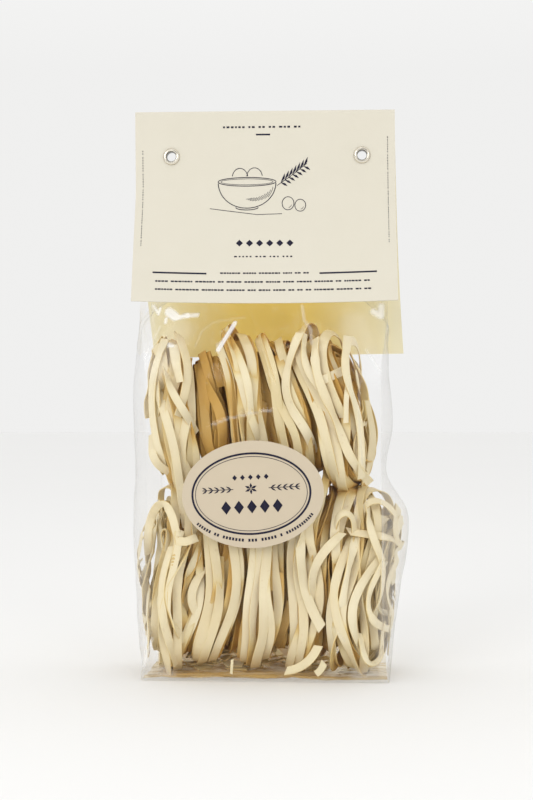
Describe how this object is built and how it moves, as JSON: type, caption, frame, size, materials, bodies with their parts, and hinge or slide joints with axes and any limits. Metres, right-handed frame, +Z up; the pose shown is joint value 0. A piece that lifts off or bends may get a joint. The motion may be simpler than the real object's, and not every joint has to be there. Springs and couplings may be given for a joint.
{
  "type": "bag of dried pasta nests",
  "caption": "Clear gusseted film bag of dried ribbon pasta nests, shut by a folded header card with open metal eyelets, with an oval label on the front.",
  "frame": {"origin": "centre of the bag's flat base, on the surface it stands on", "axes": "+Z up along the bag's height, -Y out of the front that carries the label, +X to the right of the front"},
  "size_m": [0.1377, 0.0702, 0.2805],
  "materials": {
    "film": "clear glossy film, coloured here as the pasta seen through it",
    "pasta": "dry matt dough, faintly rough from the die, pale straw",
    "card": "uncoated cream card",
    "label": "uncoated tan paper sticker",
    "ink": "flat navy print",
    "eyelet": "bright nickel plate"
  },
  "bodies": {
    "root": {"bag": "film", "header_card": "card", "label": "label", "eyelet_left": "eyelet", "eyelet_right": "eyelet"}
  },
  "joints": []
}
